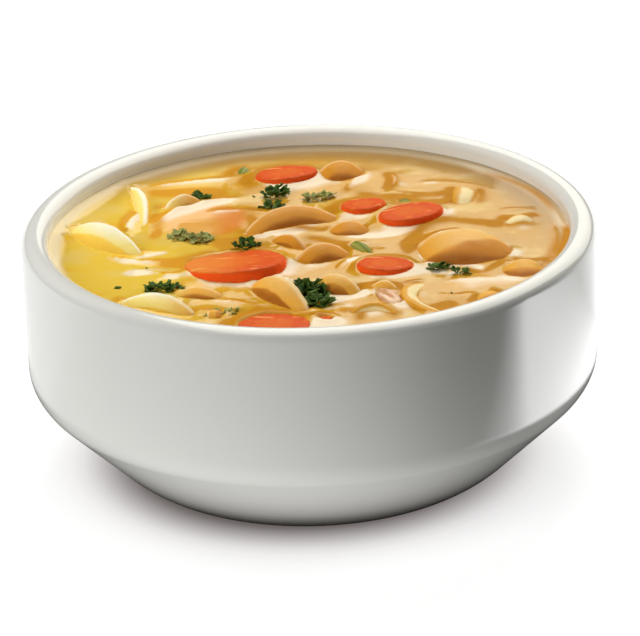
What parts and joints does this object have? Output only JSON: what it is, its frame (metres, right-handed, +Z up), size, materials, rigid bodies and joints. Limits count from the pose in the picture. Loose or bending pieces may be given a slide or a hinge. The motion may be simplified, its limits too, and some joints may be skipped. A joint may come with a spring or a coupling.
{
  "type": "bowl of soup",
  "caption": "Chicken noodle soup with ribbon noodles, carrot and celery slices in a white upright-sided soup bowl with a narrow conical foot.",
  "frame": {"origin": "middle of the foot ring, on the surface the bowl stands on", "axes": "+Z up along the bowl's turning axis, -Y towards the viewer, +X to the viewer's right"},
  "size_m": [0.13, 0.13, 0.058],
  "materials": {
    "bowl": "white gloss glaze",
    "broth": "clear amber broth",
    "noodle": "wet cooked egg noodle",
    "carrot": "wet cooked carrot",
    "celery": "wet cooked celery",
    "chicken": "wet cooked meat"
  },
  "bodies": {
    "root": {"bowl": "bowl", "broth": "broth", "noodle_left_wave": "noodle", "noodle_left_ridge": "noodle", "noodle_back_left_arch": "noodle", "noodle_centre_arch": "noodle", "noodle_centre_leaf": "noodle", "noodle_bow_left": "noodle", "noodle_bow_right": "noodle", "noodle_petal": "noodle", "noodle_round_lobe": "noodle", "noodle_right_fold": "noodle", "noodle_right_lens": "noodle", "noodle_right_tip": "noodle", "noodle_back_right_loop": "noodle", "noodle_back_arch": "noodle", "noodle_back_edge": "noodle", "noodle_front_curl": "noodle", "noodle_front_fold": "noodle", "noodle_front_ring": "noodle", "noodle_front_right_tip": "noodle", "noodle_front_left_wave": "noodle", "noodle_front_left_strip": "noodle", "noodle_front_left_tip": "noodle", "celery_centre": "celery", "celery_back_right": "celery", "celery_back_left": "celery", "carrot_centre": "carrot", "carrot_back": "carrot", "carrot_back_right": "carrot", "carrot_right": "carrot", "carrot_centre_right": "carrot", "carrot_front": "carrot", "carrot_front_bit": "carrot", "chicken_shred": "chicken"}
  },
  "joints": []
}
